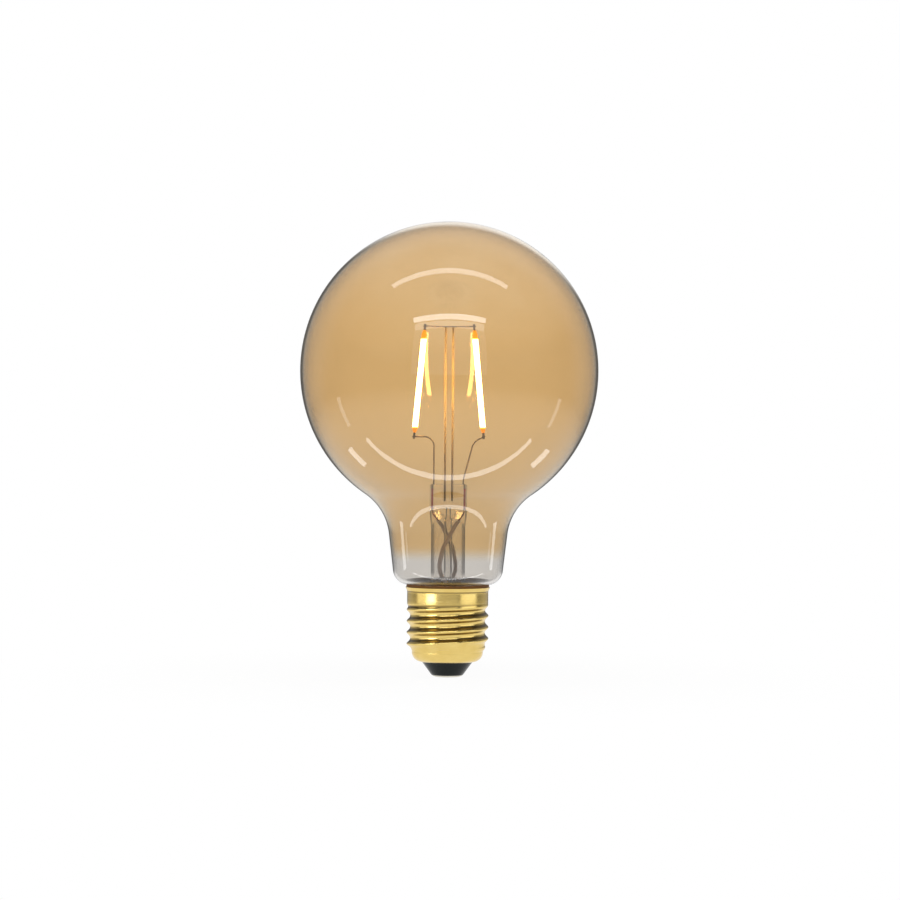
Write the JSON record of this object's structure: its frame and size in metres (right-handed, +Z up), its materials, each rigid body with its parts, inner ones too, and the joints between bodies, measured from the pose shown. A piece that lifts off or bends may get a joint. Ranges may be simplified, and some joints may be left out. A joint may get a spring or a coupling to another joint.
{
  "type": "globe lamp",
  "caption": "Amber glass globe lamp with upright light-emitting filaments on a pressed glass stem and a brass screw cap with a centre contact.",
  "frame": {"origin": "middle of the centre contact's face at the foot of the cap", "axes": "+Z up the lamp axis to the crown of the globe, +X to the right of the picture, -Y towards the viewer"},
  "size_m": [0.095, 0.095, 0.145],
  "materials": {
    "amber_glass": "glossy amber coat",
    "clear_glass": "glossy",
    "nickel_wire": "drawn wire",
    "cap_brass": "satin, rolled",
    "black_glass": "glossy, opaque",
    "tinned_metal": "soldered",
    "cement": "baked resin cement",
    "circuit_board": "lacquered",
    "black_epoxy": "moulded",
    "capacitor_can": "drawn",
    "resistor_coat": "lacquered",
    "copper_wire": "bare copper",
    "phosphor_silicone": "silicone coat",
    "red_seal_wire": "oxidised copper clad",
    "clear_sleeve": "translucent"
  },
  "bodies": {
    "root": {"bridge_rectifier": "black_epoxy", "cap_insulator": "black_glass", "capping_cement": "cement", "centre_contact": "tinned_metal", "cross_wire": "nickel_wire", "driver_board": "circuit_board", "driver_chip": "black_epoxy", "exhaust_tube": "clear_glass", "filament_left": "phosphor_silicone", "filament_right": "phosphor_silicone", "fusible_resistor": "resistor_coat", "glass_globe": "amber_glass", "glass_stem": "clear_glass", "inner_lead_left": "nickel_wire", "inner_lead_right": "nickel_wire", "lead_sleeve_left": "clear_sleeve", "lead_sleeve_right": "clear_sleeve", "lower_terminal_left": "nickel_wire", "lower_terminal_right": "nickel_wire", "outer_lead_left": "copper_wire", "outer_lead_right": "copper_wire", "screw_shell": "cap_brass", "seal_wire_left": "red_seal_wire", "seal_wire_right": "red_seal_wire", "shell_lead": "copper_wire", "smoothing_capacitor": "capacitor_can", "support_rod_left": "nickel_wire", "support_rod_right": "nickel_wire", "upper_terminal_left": "nickel_wire", "upper_terminal_right": "nickel_wire"}
  },
  "joints": []
}
